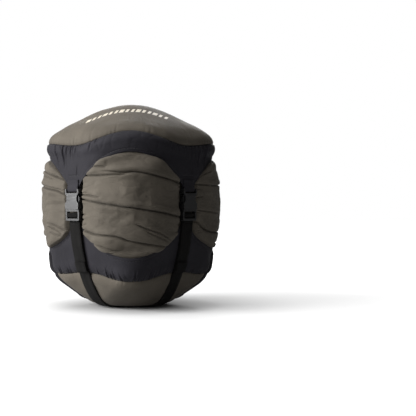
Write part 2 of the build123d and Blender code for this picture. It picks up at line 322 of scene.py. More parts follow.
# How deep and wide the base's side seams draw the cloth in, and the heights where this starts and ends.
SIDE_PULL, SIDE_PULL_WIDTH = 4.0, 18
SIDE_PULL_START, SIDE_PULL_END = (5, 16), (64, 76)


def side_pull(points):
    """How far the cloth is drawn in at the side seams of the base, on the left and right lobes."""
    here = between(points[..., 2], SIDE_PULL_START, SIDE_PULL_END)
    return SIDE_PULL * bell(points[..., 1], SIDE_PULL_WIDTH) * here


def solidify(piece, thickness):
    modifier = piece.modifiers.new("thickness", "SOLIDIFY")
    modifier.thickness = thickness * MM
    modifier.offset = -1
    modifier.use_even_offset = False


# --- materials ---
class Nodes:
    """Short calls for building a material's nodes."""

    def __init__(self, name):
        self.material = bpy.data.materials.new(name)
        self.material.use_nodes = True
        self.tree = self.material.node_tree
        self.shader = self.tree.nodes["Principled BSDF"]
        self.place = self.add("TexCoord").outputs["Object"]

    def add(self, kind, **values):
        """A new node, with values for its sockets and settings."""
        node = self.tree.nodes.new("ShaderNode" + kind)
        for key, value in values.items():
            if key in node.inputs:
                node.inputs[key].default_value = value
            else:
                setattr(node, key, value)
        return node

    def wire(self, source, target):
        self.tree.links.new(source, target)

    def set(self, **values):
        """Sets the shader's own sockets, named with _ for a space."""
        for key, value in values.items():
            self.shader.inputs[key.replace("_", " ")].default_value = value

    def weave_axes(self):
        """Where a point is on the cloth, along its columns' direction and along its rows' direction."""
        split = self.add("SeparateXYZ")
        self.wire(self.add("UVMap", uv_map="weave").outputs["UV"], split.inputs[0])
        return split.outputs[0], split.outputs[1]

    def noise(self, scale, detail=3.0):
        node = self.add("TexNoise", Scale=scale, Detail=detail, Roughness=0.55)
        self.wire(self.place, node.inputs["Vector"])
        return node.outputs["Fac"]

    def math(self, operation, a, b=None):
        node = self.add("Math", operation=operation)
        for socket, value in zip(node.inputs, (a, b)):
            if value is None:
                continue
            if isinstance(value, (int, float)):
                socket.default_value = value
            else:
                self.wire(value, socket)
        return node.outputs[0]

    def tint(self, value, colour, darkest, lightest):
        """Gives the shader the colour, varied by a noise value between two shares of it."""
        node = self.add("ValToRGB")
        for stop, at, share in zip(node.color_ramp.elements, (0.35, 0.65), (darkest, lightest)):
            stop.position = at
            stop.color = (*(c * share for c in colour), 1)
        self.wire(value, node.inputs["Fac"])
        self.wire(node.outputs["Color"], self.shader.inputs["Base Color"])

    def bump(self, height, strength, distance, after=None):
        node = self.add("Bump", Strength=strength, Distance=distance)
        self.wire(height, node.inputs["Height"])
        if after:
            self.wire(after, node.inputs["Normal"])
        return node.outputs["Normal"]


def woven(name, colour, roughness=0.72, sheen=0.035, pitch=0.62, spread=0.12):
    """Plain-woven nylon: fine warp and weft, faint slubs and soft crumpling."""
    n = Nodes(name)
    n.tint(n.noise(26, 4), colour, 1 - spread, 1 + spread)
    round_sack, up_sack = n.weave_axes()
    turns = 2 * pi / pitch
    warp = n.math("SINE", n.math("MULTIPLY", round_sack, turns))
    weft = n.math("SINE", n.math("MULTIPLY", up_sack, turns))
    threads = n.bump(n.math("MULTIPLY", warp, weft), strength=0.35, distance=0.00008)
    slubs = n.bump(n.noise(420, 2), strength=0.25, distance=0.0002, after=threads)
    crumple = n.bump(n.noise(55, 3), strength=0.22, distance=0.003, after=slubs)
    n.wire(crumple, n.shader.inputs["Normal"])
    n.set(Roughness=roughness, Sheen_Weight=sheen, Sheen_Roughness=0.45, Specular_IOR_Level=0.08)
    return n.material


def webbing_material(name, colour, zigzag=2.4, rib=1.25, yarn=0.8):
    """Ribbed polypropylene webbing: slanting ribs across the width and fine yarn along it, in millimetres."""
    n = Nodes(name)
    n.tint(n.noise(60, 3), colour, 0.82, 1.2)
    across, along = n.weave_axes()
    slant = n.math("MULTIPLY", n.math("PINGPONG", across, zigzag), 0.5)
    ribs = n.math("SINE", n.math("MULTIPLY", n.math("ADD", along, slant), 2 * pi / rib))
    yarns = n.math("SINE", n.math("MULTIPLY", across, 2 * pi / yarn))
    ribbed = n.bump(ribs, strength=0.75, distance=0.00022)
    n.wire(n.bump(yarns, strength=0.35, distance=0.0001, after=ribbed), n.shader.inputs["Normal"])
    n.set(Roughness=0.7, Sheen_Weight=0.01, Sheen_Roughness=0.5, Specular_IOR_Level=0.05)
    return n.material


def plastic(name, colour, roughness=0.36):
    """Moulded acetal: satin, with a faint grain and soft handling marks."""
    n = Nodes(name)
    n.tint(n.noise(90, 3), colour, 0.88, 1.15)
    marks = n.add("MapRange")
    n.wire(n.noise(240, 4), marks.inputs["Value"])
    marks.inputs["To Min"].default_value = roughness - 0.06
    marks.inputs["To Max"].default_value = roughness + 0.1
    n.wire(marks.outputs[0], n.shader.inputs["Roughness"])
    grain = n.bump(n.noise(1400, 2), strength=0.18, distance=0.00012)
    n.wire(grain, n.shader.inputs["Normal"])
    n.set(Specular_IOR_Level=0.4)
    return n.material


def plain(name, colour, roughness=0.6, metallic=0.0, grain=900, strength=0.2, sheen=0.0):
    """One colour with a fine grain, for thread, cord, print and steel."""
    n = Nodes(name)
    n.tint(n.noise(grain / 4, 3), colour, 0.9, 1.1)
    n.wire(n.bump(n.noise(grain, 2), strength, distance=0.0002), n.shader.inputs["Normal"])
    n.set(Roughness=roughness, Metallic=metallic, Sheen_Weight=sheen)
    return n.material


OLIVE = (0.062, 0.054, 0.0435)
NAVY = (0.0135, 0.0128, 0.0158)
olive = woven("olive nylon", OLIVE)
navy = woven("navy nylon", NAVY, roughness=0.68, sheen=0.02, spread=0.08)
webbing = webbing_material("charcoal webbing", (0.0048, 0.0045, 0.0043))
binding = woven("seam binding", (0.02, 0.0195, 0.022), roughness=0.6, sheen=0.03, pitch=0.9)
black = plastic("buckle plastic", (0.0075, 0.0075, 0.008))
thread_navy = plain("navy thread", (0.0095, 0.009, 0.011), 0.8, grain=2500, strength=0.4)
print_ink = plain("pale print", (0.42, 0.38, 0.31), 0.55, grain=1600, strength=0.3)
cord_braid = plain("braided cord", (0.02, 0.02, 0.022), 0.7, grain=1800, strength=0.9, sheen=0.2)
steel = plain("spring steel", (0.5, 0.5, 0.51), 0.3, metallic=1.0, grain=3000, strength=0.1)
quilt = woven("quilted shell", (0.09, 0.1, 0.12), roughness=0.5)


# --- creases ---
def polyline_distance(u, v, path):
    """Distance of each point from a path, which side of it the point is on, and how far along it."""
    best = np.full(u.shape, np.inf)
    side, along = np.zeros(u.shape), np.zeros(u.shape)
    reach = reach_along(np.array(path))
    for a, b, before, after in zip(path, path[1:], reach, reach[1:]):
        length = after - before
        du, dv = (b[0] - a[0]) / length, (b[1] - a[1]) / length
        s = np.clip((u - a[0]) * du + (v - a[1]) * dv, 0, length)
        pu, pv = u - a[0] - s * du, v - a[1] - s * dv
        d = np.hypot(pu, pv)
        nearer = d < best
        best = np.where(nearer, d, best)
        side = np.where(nearer, np.sign(du * pv - dv * pu), side)
        along = np.where(nearer, (before + s) / reach[-1], along)
    return best, side, along


# A crease's line: its depth beside the stated one, and half its width. Beside it the cloth swells by a share
# of the depth, more on the upper side, which hangs over. An end in the open window dies away.
CREASE_DEPTH, CREASE_WIDTH = 1.4, 0.78
CREASE_SWELL, CREASE_REACH, CREASE_HANG = 0.4, 7.5, 0.3
CREASE_START, CREASE_END = (0, 0.22), (0.75, 1)
UNDER_STRAP = 51.0


def crease_relief(u, v, path, depth, swell=CREASE_SWELL, reach=CREASE_REACH):
    """A pulled-in line with the cloth swelling above and below it. It keeps its depth in under a strap."""
    d, side, along = polyline_distance(u, v, spline(path, CREASE_STEPS))
    start = 1.0 if abs(path[0][0]) > UNDER_STRAP else smooth(along, *CREASE_START)
    end = 1.0 if abs(path[-1][0]) > UNDER_STRAP else 1 - smooth(along, *CREASE_END)
    line = -CREASE_DEPTH * depth * bell(d, CREASE_WIDTH)
    beside = depth * swell * bell(d - reach * 0.55, reach * 0.5) * (1 + CREASE_HANG * side)
    return (line + beside) * start * end


# Long creases of each side window, as (across, up) points and a depth.
CREASES = {
    "front": [
        ([(-42, 175.6), (-34, 175.8), (-26, 174)], 2.2),
        ([(-55, 165.7), (-35, 165.2), (-15, 166), (0, 167)], 2.4),
        ([(-34, 170.4), (-11, 168.8), (5, 169.6), (19, 167.3), (42, 160.7), (58, 154.8)], 3.8),
        ([(-60, 142.6), (-47, 141.6), (-30, 138.4)], 2.6),
        ([(-60, 138.4), (-37, 133), (-9, 127.6), (5, 126.4), (29, 122), (58, 114.6)], 4.2),
        ([(3, 108.5), (18, 102), (32, 96), (47, 86.5)], 2.0),
        ([(15, 101), (30, 92), (42, 86.4)], 1.3),
        ([(-56, 101), (-39, 95.3), (-17, 92.3), (-3, 87.6), (14, 84.5), (32, 82.4), (46, 80)], 3.8),
        ([(-47, 86.2), (-27, 80.4), (-9, 74.4)], 2.8),
    ],
    "left": [
        ([(-34, 178), (-8, 177), (14, 174.5), (35, 168), (53, 161)], 3.2),
        ([(6, 169.5), (24, 166.5), (42, 161)], 2.0),
        ([(-58, 149), (-24, 156), (0, 155.5), (38, 149), (50, 144.6), (60, 140)], 4.0),
        ([(4, 157), (30, 153), (58, 146.5)], 1.8),
        ([(-52, 126), (-34, 122), (-16, 124)], 2.2),
        ([(24, 108), (40, 105), (54, 98)], 2.4),
        ([(26, 103), (38, 100.6), (50, 95)], 2.2),
        ([(30, 96), (38, 94), (46, 90)], 1.6),
        ([(-50, 98), (-24, 91), (2, 89), (20, 91)], 2.6),
    ],
    "right": [
        ([(-58, 155.8), (-22, 155), (10, 157), (36, 163)], 1.8),
        ([(-56, 124), (-30, 121), (-6, 117.5)], 1.4),
        ([(-60, 113), (-53, 108.7), (-40, 98.5), (-19, 95), (10, 96.5), (40, 91)], 3.4),
        ([(-54, 161), (-45, 168), (-32, 174)], 1.5),
        ([(8, 134), (30, 129), (60, 131)], 3.0),
        ([(6, 176), (34, 172)], 2.0),
        ([(-26, 84), (6, 82), (26, 85)], 1.8),
    ],
    "back": [
        ([(-50, 158), (-24, 164), (8, 163), (36, 168)], 2.8),
        ([(-57, 128), (-30, 124), (2, 127), (30, 134), (57, 136)], 3.6),
        ([(20, 176), (42, 172)], 1.6),
        ([(-54, 101), (-28, 92), (4, 90), (30, 94)], 2.8),
        ([(2, 110), (28, 106), (52, 98)], 2.2),
        ([(-26, 80), (6, 77), (28, 82)], 1.8),
        ([(-40, 146), (-14, 148), (10, 145)], 1.3),
    ],
}


def window_coordinates(phi, radius):
    """Distance across the nearest lobe's face, and that lobe's number."""
    return radius * np.sin(from_lobe(phi)), np.floor((phi + QUARTER / 2) / QUARTER).astype(int) % 4


TUCKS, TUCK_SWELL, TUCK_REACH = 7, 0.3, 5


def strap_tucks(seed):
    """Short creases that start at the straps, legs and buckles and run into the window."""
    rng = random.Random(seed)
    tucks = []
    for _ in range(TUCKS):
        side = rng.choice((-1, 1))
        start, up = rng.uniform(56, 61), rng.uniform(92, 166)
        run, rise = rng.uniform(7, 15), rng.uniform(-3, 3)
        path = [(side * (start - run * share), up + rise * share) for share in (0, 0.5, 1)]
        tucks.append((path, rng.uniform(0.7, 1.3)))
    return tucks


# How far the free cloth stands out beside the caps' edges and beside the straps, which hold it back.
EDGE_SWELL, EDGE_REACH, EDGE_FROM_STRAP = 2.6, 5, (24, 50)
STRAP_SWELL, STRAP_RISE, STRAP_FALL = 6.8, (10, 18), (38, 76)
TUCKED_IN = (-1.5, 2.2)
# Uneven filling, fine unevenness and thin creases of the wall: size, scale, stretch, seed.
WALL_LUMPS = (0.7, 38, (1, 1, 2.2), 3.1)
WALL_DIMPLES = (0.1, 9, (1, 1, 1.8), 8.4)
WALL_CRINKLES = (0.28, 26, 15.2, (1, 1, 2.6))
BULGE_FROM_STRAP = (8, 15)
FIRST_TUCK_SEED = 20


def sack_relief(phi, points):
    """How far the side wall stands proud of its outline, in millimetres."""
    z = points[..., 2]
    radius = from_axis(points)
    across, lobe = window_coordinates(phi, radius)
    above, below = z - base_edge(phi), lid_edge(phi) - z
    inside = smooth(above, *TUCKED_IN) * smooth(below, *TUCKED_IN)
    beside_strap = np.abs(radius * np.sin(from_strap(phi)))
    at_edges = bell(above - EDGE_REACH, EDGE_REACH) + bell(below - EDGE_REACH, EDGE_REACH)
    relief = EDGE_SWELL * at_edges * smooth(beside_strap, *EDGE_FROM_STRAP)
    relief += STRAP_SWELL * between(beside_strap, STRAP_RISE, STRAP_FALL)
    relief += unevenness(points, *WALL_LUMPS)
    relief += unevenness(points, *WALL_DIMPLES)
    relief -= WALL_CRINKLES[0] * crinkles(points, *WALL_CRINKLES[1:])
    relief *= inside
    for name, number in LOBES.items():
        here = lobe == number
        u, v = across[here], z[here]
        total = np.zeros(u.shape)
        for path, depth in CREASES[name]:
            total += crease_relief(u, v, path, depth)
        for path, depth in strap_tucks(FIRST_TUCK_SEED + number):
            total += crease_relief(u, v, path, depth, TUCK_SWELL, TUCK_REACH)
        bulge = inside[here] * smooth(beside_strap[here], *BULGE_FROM_STRAP)
        relief[here] += np.where(total > 0, total * bulge, total)
    return relief


# --- the sack itself ---
COLUMNS = 720
FULL_TURN = round_angles(COLUMNS)
# The simulated wall: its grid, how much too high it is cut, the pressure in it and how long it is pressed.
WALL_COLUMNS, WALL_ROWS = 220, 60
WALL_SPARE, WALL_PRESSURE, WALL_FRAMES, REST_FRAMES = 0.05, 1.5, 20, 5
# Rounds of blur that give the broad swelling, the share used of what is finer, and its limit.
WALL_BLUR, WALL_SHARE, WALL_LIMIT = 24, 0.45, 1.2
WALL_CLOTH = {
    "quality": 7,
    "mass": 0.05,
    "tension_stiffness": 20,
    "compression_stiffness": 20,
    "shear_stiffness": 8,
    "bending_stiffness": 0.02,
    "use_pressure": True,
    "uniform_pressure_force": WALL_PRESSURE,
    "vertex_group_mass": "held",
}


def pressed_wall(t_low, t_high):
    """Wrinkles of the side wall by cloth simulation, as lengths t, angles and millimetres.

    The wall is cut too high. The caps and straps that hold it press it down to its real height, and it
    crumples and swells where it is free. The outline has the swelling already, so only what is finer counts.
    """
    scene = bpy.context.scene
    lengths = np.linspace(t_low, t_high, WALL_ROWS)
    phi, points = sack_skin.grid(WALL_COLUMNS, lengths)
    z = points[..., 2]
    beside_strap = np.abs(from_axis(points) * np.sin(from_strap(phi)))
    held = (z < base_edge(phi)) | (z > lid_edge(phi)) | (beside_strap < WEB_WIDTH / 2)
    held[[0, -1]] = True
    as_cut = points + (z - z[0, 0])[..., None] * (0, 0, WALL_SPARE)
    wall = bpy.data.objects.new("wall", grid_mesh("wall", as_cut))
    scene.collection.objects.link(wall)
    wall.shape_key_add(name="as cut")
    pressed = wall.shape_key_add(name="as pressed")
    pressed.data.foreach_set("co", (points * MM).ravel())
    for number, value in ((1, 0.0), (WALL_FRAMES - REST_FRAMES, 1.0)):
        pressed.value = value
        pressed.keyframe_insert("value", frame=number)
    wall.vertex_groups.new(name="held").add(np.flatnonzero(held).tolist(), 1.0, "REPLACE")
    settings = wall.modifiers.new("cloth", "CLOTH").settings
    for key, value in WALL_CLOTH.items():
        setattr(settings, key, value)
    settings.effector_weights.gravity = 0
    for number in range(1, WALL_FRAMES + 1):
        scene.frame_set(number)
    swollen = wall.evaluated_get(bpy.context.evaluated_depsgraph_get()).to_mesh()
    after = np.empty(points.size)
    swollen.vertices.foreach_get("co", after)
    bpy.data.objects.remove(wall)
    scene.frame_set(1)
    moved = ((after.reshape(points.shape) / MM - points) * grid_normals(points)).sum(-1)
    broad = moved
    for _ in range(WALL_BLUR):
        broad = (np.roll(broad, 1, 1) + np.roll(broad, -1, 1) + 2 * broad) / 4
        broad = np.pad((broad[:-2] + broad[2:] + 2 * broad[1:-1]) / 4, ((1, 1), (0, 0)), "edge")
    fine = WALL_SHARE * (moved - broad) * ~held
    return lengths, phi[0], WALL_LIMIT * np.tanh(fine / WALL_LIMIT)


def resample(lengths, angles, values, t, phi):
    """Values on a coarse grid, read at the rows t and columns phi of a finer one."""
    by_row = np.stack([np.interp(phi, angles, row, period=2 * pi) for row in values])
    return np.stack([np.interp(t, lengths, column) for column in by_row.T], -1)


# Where the side wall starts and ends, and its rows of points below, along and above it.
WALL_LOW, WALL_HIGH, FIRST_T = 60.0, 204.0, 4.0
SACK_ROWS = (26, 240, 46)
PLEATS, PLEAT_DEPTH, PLEAT_MIDDLE, PLEAT_SWAY = 13, 1.5, 0.75, 0.6
PLEATS_FROM, PLEATS_RIM = (222, 236), (10, 30)


def sack_points():
    """The cloth of the sack from the middle of its base to its mouth."""
    t_low, t_rim = sack_skin.t_at(WALL_LOW), sack_skin.t_at(WALL_HIGH)
    rows = np.concatenate([
        np.linspace(FIRST_T, t_low, SACK_ROWS[0], endpoint=False),
        np.linspace(t_low, t_rim, SACK_ROWS[1], endpoint=False),
        np.linspace(t_rim, sack_skin.t[-1], SACK_ROWS[2]),
    ])
    phi, points = sack_skin.grid(COLUMNS, rows)
    relief = sack_relief(phi, points) + resample(*pressed_wall(t_low, t_rim), rows, FULL_TURN)
    # Under the lid the cloth is drawn in to the mouth in pleats.
    top = smooth(points[..., 2], *PLEATS_FROM) * smooth(from_axis(points), *PLEATS_RIM)
    pleats = np.abs(np.sin(PLEATS * phi + PLEAT_SWAY * np.sin(3 * phi))) - PLEAT_MIDDLE
    relief += top * pleats * PLEAT_DEPTH - side_pull(points)
    return points + grid_normals(points) * relief[..., None]


sack_mesh = grid_mesh("sack_side", sack_points(), low_pole=True, uv_size=(700, 330))
sack = link(sack_mesh, olive, None, "sack_body")
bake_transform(sack)


# --- the caps ---
# Rows of stitches: how far they are from a cap's edge and from its seam.
HEM_STITCH, SEAM_STITCH = 4.2, 2.6
POLE_GAP = 1.2


def cap_grid(outline, low, high, rows):
    """A grid round the sack between two lengths t, each one number or one for every column."""
    share = np.linspace(0, 1, rows)[:, None]
    return outline.grid(COLUMNS, (1 - share) * low + share * high * np.ones(COLUMNS))


def cap_piece(node, points, relief, material, body, slot, **shape):
    """Makes a cap's cloth from its outline and relief, in place of its CAD node, and returns its points."""
    points = points + grid_normals(points) * relief[..., None]
    solidify(link(grid_mesh(node + "_cloth", points, **shape), material, body, node), CAP_FABRIC)
    return points


def gathers(phi, distance, places, length, depth, width):
    """Short creases that run away from a seam; distance is how far each point is from the seam."""
    relief = np.zeros(phi.shape)
    for place, size, lean in places:
        gap = 100 * ((phi - place - lean * distance / 1000 + pi) % (2 * pi) - pi)
        fade = size * (1 - smooth(distance, length * size * 0.3, length * size))
        beside = bell(np.abs(gap) - width * 1.9, width * 1.1)
        relief += depth * (0.4 * beside - bell(gap, width)) * fade
    return relief


SEAM_WIDTH, SEAM_SIDE, SEAM_PUFF, SEAM_PUFF_AT = 1.3, 3.6, 0.8, 9.0


def seam_dip(distance, depth=1.0):
    """The pull of a seam on the cloth beside it, and the cloth's puff beyond."""
    dip = depth * bell(distance, SEAM_WIDTH) + 0.7 * depth * bell(distance, SEAM_SIDE)
    return SEAM_PUFF * depth * bell(distance - SEAM_PUFF_AT, SEAM_PUFF_AT * 0.6) - dip


# A cap's hem: how proud it stands, where it rises and falls, and how deep and wide its stitches are drawn in.
HEM_PROUD, HEM_RISE, HEM_FALL = 0.25, (0.2, 1.2), (3.6, HEM_STITCH)
HEM_DRAWN, HEM_DRAWN_WIDTH = 0.35, 0.6


def hem_fold(from_edge):
    """The turned hem along a cap's edge, with its row of stitching drawn in."""
    turned = between(from_edge, HEM_RISE, HEM_FALL)
    return HEM_PROUD * turned - HEM_DRAWN * bell(from_edge - HEM_STITCH, HEM_DRAWN_WIDTH)


def lumps(points, distance, size, scale, seed, stretch=(1, 1, 1), fade=(3, 12)):
    """Soft unevenness of a cap's cloth, which dies away towards its seam or edge."""
    return unevenness(points, size, scale, stretch, seed) * smooth(distance, *fade)


def seam_crinkles(points, seed, from_seam, reach):
    """Thin upright creases of a band near its seam."""
    return 0.5 * crinkles(points, 16, seed, (1, 1, 0.22)) * (1 - smooth(from_seam, 6, reach))


def gather_places(seed, count, reach, lean, sizes=(0.45, 1.0)):
    """Places of creases along a seam, bunched within reach radians of the straps."""
    rng = random.Random(seed)
    places = []
    for strap in STRAPS.values():
        for _ in range(count):
            off = rng.uniform(-reach, reach)
            places.append((radians(strap) + off, rng.uniform(*sizes), rng.uniform(-lean, lean) - off * 4))
    return places


# The deep folds where the lid's band runs into a leg: angle from the strap, and size.
LEG_FOLDS = [(-0.35, 1.0), (-0.19, 1.0), (-0.12, 0.55), (-0.045, 0.6), (0.05, 0.5), (0.3, 0.45)]
# The two rows of stitching on each leg: their heights, half their lengths, how deep and wide they draw in.
LEG_ROWS, LEG_HALVES, LEG_DRAWN, LEG_DRAWN_WIDTH = (166.0, 154.5), (9.0, 7.0), (0.55, 0.4), 0.8
# The crease above them: its depth and half width, how far across it is, how it leans, and its ends.
LEG_CREASE, LEG_CREASE_WIDTH, LEG_CREASE_ACROSS, LEG_CREASE_LEAN = 1.1, 0.9, 6, 0.05
LEG_CREASE_ENDS = ((165, 168), (172, 181))
LEG_FOLD_SIDE = {"front_left": 1, "front_right": -1, "back_right": 1, "back_left": -1}


def leg_folds():
    folds = []
    for corner, degrees in STRAPS.items():
        side = LEG_FOLD_SIDE[corner]
        folds += [(radians(degrees) + side * off, size, -side * off * 5) for off, size in LEG_FOLDS]
    return folds


def leg_marks(phi, points):
    """On each leg of the lid the cloth is drawn in along two rows of stitching, and creased above them."""
    z = points[..., 2]
    across = from_axis(points) * np.sin(from_strap(phi))
    from_crease = across - LEG_CREASE_ACROSS - (z - LEG_ROWS[0]) * LEG_CREASE_LEAN
    marks = -LEG_CREASE * bell(from_crease, LEG_CREASE_WIDTH) * between(z, *LEG_CREASE_ENDS)
    for row, half, depth in zip(LEG_ROWS, LEG_HALVES, LEG_DRAWN):
        marks -= depth * bell(z - row, LEG_DRAWN_WIDTH) * (np.abs(across) < half)
    return marks


def lid_band_piece():
    edge, seam = lid_edge(FULL_TURN), seam_height(FULL_TURN, LID_SEAM)
    phi, points = cap_grid(lid_skin, lid_skin.t_at(edge), lid_skin.t_at(seam), 64)
    from_seam, from_edge = seam - points[..., 2], points[..., 2] - edge
    relief = seam_dip(from_seam, 1.1) + leg_marks(phi, points) + hem_fold(from_edge)
    relief += gathers(phi, from_seam, leg_folds(), length=34, depth=2.9, width=1.15)
    relief += gathers(phi, from_seam, gather_places(8, 15, 0.42, 0.8), length=11, depth=1.1, width=0.75)
    relief += lumps(points, from_edge, 0.7, 44, 1.7, (1, 1, 0.7))
    relief += lumps(points, from_edge, 0.1, 7, 5.5, (1, 1, 0.6), fade=(2, 6))
    relief -= seam_crinkles(points, 21.3, from_seam, 30)
    return cap_piece("lid_band", points, relief, navy, "lid", "navy_nylon", uv_size=(690, 60))


def lid_panel_piece():
    seam = seam_height(FULL_TURN, LID_SEAM)
    phi, points = cap_grid(lid_skin, lid_skin.t_at(seam), lid_skin.t[-1] - POLE_GAP, 110)
    from_seam = points[..., 2] - seam
    relief = seam_dip(from_seam, 1.1)
    relief += gathers(phi, from_seam, gather_places(9, 7, 0.7, 2.0), length=14, depth=0.5, width=1.3)
    relief += lumps(points, from_seam, 1.2, 52, 6.3, fade=(2, 20))
    relief += lumps(points, from_seam, 0.12, 12, 2.9, fade=(2, 12))
    spokes = np.stack([100 * np.cos(phi), 100 * np.sin(phi), 0.12 * from_seam], -1)
    relief -= 0.4 * crinkles(spokes, 13, 4.6) * (1 - smooth(from_seam, 4, 34))
    shape = {"high_pole": True, "uv_size": (600, 130)}
    return cap_piece("lid_panel", points, relief, olive, "lid", "olive_nylon", **shape)


def base_band_piece():
    edge, seam = base_edge(FULL_TURN), seam_height(FULL_TURN, BASE_SEAM)
    phi, points = cap_grid(base_skin, base_skin.t_at(seam), base_skin.t_at(edge), 56)
    from_seam, from_edge = points[..., 2] - seam, edge - points[..., 2]
    relief = seam_dip(from_seam) + hem_fold(from_edge)
    places = gather_places(13, 26, 0.76, 1.2, (0.3, 1.0))
    relief += gathers(phi, from_seam, places, length=17, depth=1.6, width=0.85)
    relief += lumps(points, from_edge, 0.7, 40, 4.4, (1, 1, 0.8))
    relief -= seam_crinkles(points, 33.1, from_seam, 24) + side_pull(points)
    return cap_piece("base_band", points, relief, navy, "base", "navy_nylon", uv_size=(660, 50))


def base_panel_piece():
    seam = seam_height(FULL_TURN, BASE_SEAM)
    phi, points = cap_grid(base_skin, 1.0, base_skin.t_at(seam), 84)
    from_seam = seam - points[..., 2]
    relief = seam_dip(from_seam) - side_pull(points)
    relief += gathers(phi, from_seam, gather_places(17, 10, 0.76, 2.0), length=9, depth=0.35, width=1.1)
    relief += lumps(points, from_seam, 0.9, 50, 7.7, fade=(1, 12)) * smooth(points[..., 2], 8, 20)
    shape = {"low_pole": True, "uv_size": (560, 120)}
    return cap_piece("base_panel", points, relief, olive, "base", "olive_nylon", **shape)


lid_band = lid_band_piece()
lid_panel = lid_panel_piece()
base_band = base_band_piece()
base_panel = base_panel_piece()


# --- stitching and print ---
def line_at(points, distance):
    """The line round a cloth's grid that far from its first row, or from its last if negative."""
    rows = points if distance > 0 else points[::-1]
    steps = np.linalg.norm(np.diff(rows, axis=0), axis=-1)
    length = np.concatenate([np.zeros((1, rows.shape[1])), np.cumsum(steps, axis=0)])
    low = np.clip((length < abs(distance)).sum(0) - 1, 0, len(rows) - 2)
    column = np.arange(rows.shape[1])
    gap = np.maximum(length[low + 1, column] - length[low, column], NO_LENGTH)
    share = ((abs(distance) - length[low, column]) / gap)[:, None]
    return rows[low, column] * (1 - share) + rows[low + 1, column] * share


# A stitch: its spots along its length, how high each lies over the cloth in radii, and its sides.
STITCH_SPOTS, STITCH_LIFTS, STITCH_SIDES = (0, 0.16, 0.5, 0.84, 1), (-1.0, 0.35, 0.6, 0.35, -1.0), 6


def at_reach(spots, reach, line):
    """Points along a line, by how far along it they are."""
    return np.stack([np.interp(spots, reach, column) for column in line.T], -1)


def stitches(name, line, outward, body, length=2.5, gap=1.2, radius=0.26, closed=True):
    """A row of stitches along a line on the cloth, each a short thread that dips into it at both ends."""
    if closed:
        line, outward = np.vstack([line, line[:1]]), np.vstack([outward, outward[:1]])
    reach = reach_along(line)
    count = max(int(reach[-1] / (length + gap)), 1)
    verts, faces = [], []
    quads = grid_quads(len(STITCH_SPOTS), STITCH_SIDES)[2]
    ring = [(cos(a), sin(a)) for a in round_angles(STITCH_SIDES)]
    for n in range(count):
        spots = n * reach[-1] / count + length * np.array(STITCH_SPOTS)
        centre, up = at_reach(spots, reach, line), at_reach(spots, reach, outward)
        along = centre[-1] - centre[0]
        along /= np.linalg.norm(along)
        first = len(verts)
        for place, normal, lift in zip(centre, up, STITCH_LIFTS):
            side = np.cross(along, normal)
            verts += [place + normal * radius * (lift + y) + side * radius * x for x, y in ring]
        last = len(verts) - STITCH_SIDES
        faces += (quads + first).tolist()
        faces += [range(first, first + STITCH_SIDES)[::-1], range(last, len(verts))]
    link(smooth_mesh(name, verts, faces), thread_navy, body)


def outward_of(line, tilt=0.0):
    """Unit normals of a line round the sack, pointing away from its axis and up by tilt."""
    flat = line * (1, 1, 0)
    flat = flat / np.linalg.norm(flat, axis=1, keepdims=True) + (0, 0, tilt)
    return flat / np.linalg.norm(flat, axis=1, keepdims=True)


OUTSIDE = 400.0


class Skin:
    """The outside of a cloth, for finding places on it."""

    def __init__(self, points):
        quads = grid_quads(*points.shape[:2])[2]
        self.tree = BVHTree.FromPolygons(points.reshape(-1, 3).tolist(), quads.tolist())

    def find(self, start, way):
        """The first place met from start, and the normal there, which faces the start."""
        place, normal, _, _ = self.tree.ray_cast(start, way)
        return np.array(place), np.array(normal) * (1 if normal.dot(way) < 0 else -1)

    def below(self, x, y):
        """The highest place over (x, y)."""
        return self.find(Vector((x, y, OUTSIDE)), Vector((0, 0, -1)))

    def beside(self, turn, across, up):
        """The outermost place at that height, across from the direction turn."""
        out, side = Vector((cos(turn), sin(turn), 0)), Vector((-sin(turn), cos(turn), 0))
        return self.find(out * OUTSIDE + side * across + Vector((0, 0, up)), -out)


for name, points, distance, tilt in (
    ("lid_hem_stitches", lid_band, HEM_STITCH, 0.0),
    ("lid_seam_stitches", lid_band, -SEAM_STITCH, 0.2),
    ("base_hem_stitches", base_band, -HEM_STITCH, 0.0),
    ("base_seam_stitches", base_band, SEAM_STITCH, -0.4),
):
    line = line_at(points, distance)
    stitches(name, line, outward_of(line, tilt), name.split("_")[0])

lid_band_skin, lid_panel_skin = Skin(lid_band), Skin(lid_panel)
for corner, degrees in STRAPS.items():
    for row, (up, half) in enumerate(zip(LEG_ROWS, LEG_HALVES)):
        spots = np.linspace(-half, half, 13)
        line, outward = zip(*[lid_band_skin.beside(radians(degrees), across, up) for across in spots])
        name = f"leg_stitches_{row + 1}_{corner}"
        stitches(name, np.array(line), np.array(outward), "lid", 2.2, 0.8, 0.34, closed=False)

# The print: how many bars, where the first and last are across the lid, their size, slant and place.
PRINT_BARS, PRINT_FROM, PRINT_TO = 15, -53.0, 44.0
PRINT_BAR, PRINT_WIDE, PRINT_SLANT, PRINT_Y = (3.4, 10.0), 1.6, 2.8, -48.0
PRINT_THICK = 0.07
BAR_ROWS, BAR_COLUMNS = 9, 5


